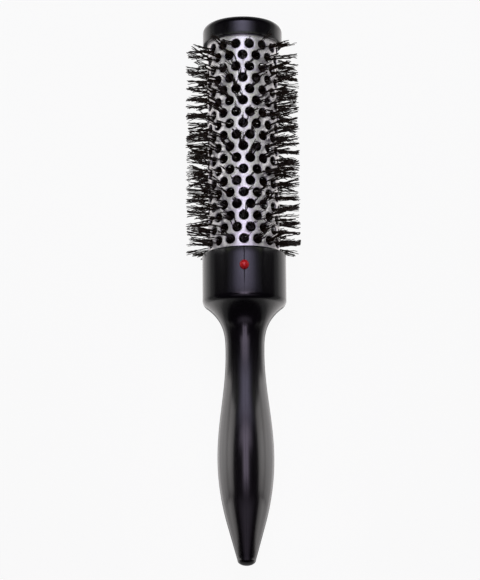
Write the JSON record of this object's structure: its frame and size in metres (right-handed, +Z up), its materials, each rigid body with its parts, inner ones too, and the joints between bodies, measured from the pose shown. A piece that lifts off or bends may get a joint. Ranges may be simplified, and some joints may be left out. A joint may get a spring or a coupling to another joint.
{
  "type": "round barrel brush",
  "caption": "Round hot-styling hairbrush with a vented metal barrel, nylon tufts on a twisted wire core, an end cap, a collar and a tapered hollow handle.",
  "frame": {"origin": "under the middle of the brush's length, on the surface that its lowest tufts rest on", "axes": "+Y along the brush's axis from the handle's tip to the end cap, +Z up through the heat indicator, +X to the right seen from above with the cap away from the viewer"},
  "size_m": [0.0538, 0.2532, 0.0538],
  "materials": {
    "handle_black": "satin moulded plastic with a fine grain",
    "cap_black": "satin moulded plastic",
    "barrel_metal": "silver, finely grained satin",
    "bristle_nylon": "black crimped nylon",
    "core_steel": "drawn wire",
    "plug_plastic": "dark heat-resistant plastic",
    "indicator_red": "glossy red dome"
  },
  "bodies": {
    "root": {"handle_shell_left": "handle_black", "handle_shell_right": "handle_black", "heat_indicator": "indicator_red", "base_plug": "plug_plastic", "barrel": "barrel_metal", "core_wire_a": "core_steel", "core_wire_b": "core_steel", "tip_plug": "plug_plastic", "end_cap": "cap_black", "bristle_ring_01": "bristle_nylon", "bristle_ring_02": "bristle_nylon", "bristle_ring_03": "bristle_nylon", "bristle_ring_04": "bristle_nylon", "bristle_ring_05": "bristle_nylon", "bristle_ring_06": "bristle_nylon", "bristle_ring_07": "bristle_nylon", "bristle_ring_08": "bristle_nylon", "bristle_ring_09": "bristle_nylon", "bristle_ring_10": "bristle_nylon", "bristle_ring_11": "bristle_nylon", "bristle_ring_12": "bristle_nylon", "bristle_ring_13": "bristle_nylon", "bristle_ring_14": "bristle_nylon", "bristle_ring_15": "bristle_nylon", "bristle_ring_16": "bristle_nylon", "bristle_ring_17": "bristle_nylon", "bristle_ring_18": "bristle_nylon"}
  },
  "joints": []
}
